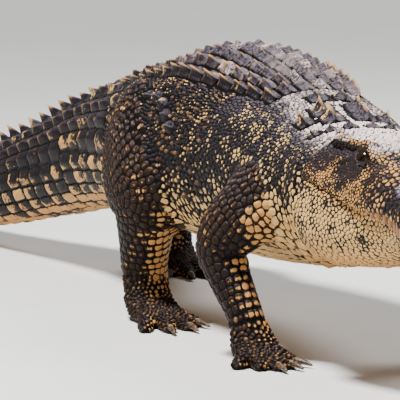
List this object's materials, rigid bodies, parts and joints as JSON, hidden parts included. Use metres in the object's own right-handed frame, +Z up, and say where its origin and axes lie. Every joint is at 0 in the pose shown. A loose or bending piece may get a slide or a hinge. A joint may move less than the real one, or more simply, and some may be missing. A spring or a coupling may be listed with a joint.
{
  "type": "crocodile",
  "caption": "Life-size still model of a heavy adult crocodile in high walk, head low, tail trailing to the floor, with keeled back armour, tail crest and mottled hide.",
  "frame": {"origin": "centre of the bounding box on the floor under the animal", "axes": "+X is the way the animal walks, +Y is its left, +Z is up"},
  "size_m": [2.5944, 0.3822, 0.4084],
  "materials": {
    "hide": "dry scaly hide, near black above with grey sheen, mottled ochre and cream on the flanks, pale below",
    "claw": "dark worn horn, satin",
    "eye": "wet dark brown eye with an upright slit pupil"
  },
  "bodies": {
    "root": {"eye_left": "eye", "eye_right": "eye", "foreleg_left_claw_1": "claw", "foreleg_left_claw_2": "claw", "foreleg_left_claw_3": "claw", "foreleg_left_foot": "hide", "foreleg_left_lower": "hide", "foreleg_left_upper": "hide", "foreleg_right_claw_1": "claw", "foreleg_right_claw_2": "claw", "foreleg_right_claw_3": "claw", "foreleg_right_foot": "hide", "foreleg_right_lower": "hide", "foreleg_right_upper": "hide", "head": "hide", "hindleg_left_claw_1": "claw", "hindleg_left_claw_2": "claw", "hindleg_left_claw_3": "claw", "hindleg_left_foot": "hide", "hindleg_left_lower": "hide", "hindleg_left_upper": "hide", "hindleg_right_claw_1": "claw", "hindleg_right_claw_2": "claw", "hindleg_right_claw_3": "claw", "hindleg_right_foot": "hide", "hindleg_right_lower": "hide", "hindleg_right_upper": "hide", "lower_jaw": "hide", "neck": "hide", "tail_1": "hide", "tail_2": "hide", "tail_3": "hide", "tail_4": "hide", "trunk": "hide"}
  },
  "joints": []
}
